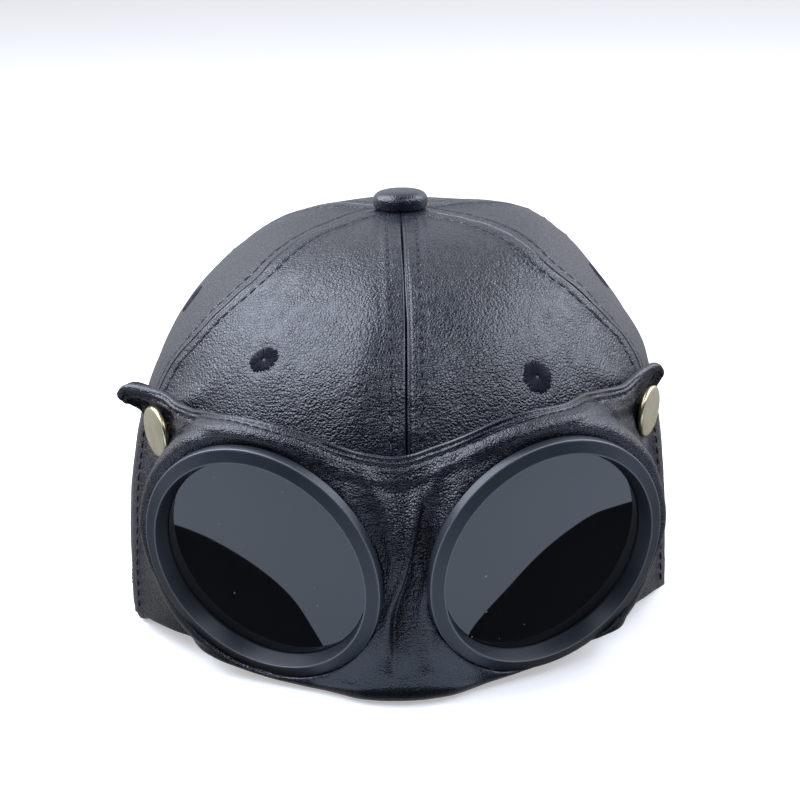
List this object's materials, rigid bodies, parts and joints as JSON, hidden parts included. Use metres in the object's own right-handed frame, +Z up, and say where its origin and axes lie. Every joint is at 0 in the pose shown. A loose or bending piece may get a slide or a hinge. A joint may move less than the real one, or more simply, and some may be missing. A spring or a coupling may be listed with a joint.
{
  "type": "leather cap with goggle peak",
  "caption": "Soft domed leather cap of sewn panels, with a wide peak that holds two round dark goggle lenses and is turned up and snapped to the temples.",
  "frame": {"origin": "under the middle of the cap, on the surface that it rests on", "axes": "+Z up out of the top of the crown, -Y out of the front of the cap, +X toward the wearer's left"},
  "size_m": [0.1698, 0.222, 0.1259],
  "materials": {
    "crown_leather": "semi-gloss pebbled black leather with a navy cast",
    "peak_leather": "semi-gloss pebbled black leather with a navy cast",
    "eyelet_thread": "satin-stitched dark navy thread",
    "frame_plastic": "satin black with a blue-grey cast",
    "lens_tint": "polished, near-black tint",
    "stud_brass": "polished pale champagne"
  },
  "bodies": {
    "root": {"panel_front_left": "crown_leather", "panel_side_left": "crown_leather", "panel_back_left": "crown_leather", "panel_back_right": "crown_leather", "panel_side_right": "crown_leather", "panel_front_right": "crown_leather", "top_button": "crown_leather", "eyelet_front_left": "eyelet_thread", "eyelet_side_left": "eyelet_thread", "eyelet_back_left": "eyelet_thread", "eyelet_back_right": "eyelet_thread", "eyelet_side_right": "eyelet_thread", "eyelet_front_right": "eyelet_thread", "goggle_peak": "peak_leather", "lens_frame_left": "frame_plastic", "lens_left": "lens_tint", "lens_frame_right": "frame_plastic", "lens_right": "lens_tint", "snap_stud_left": "stud_brass", "snap_stud_right": "stud_brass"}
  },
  "joints": []
}
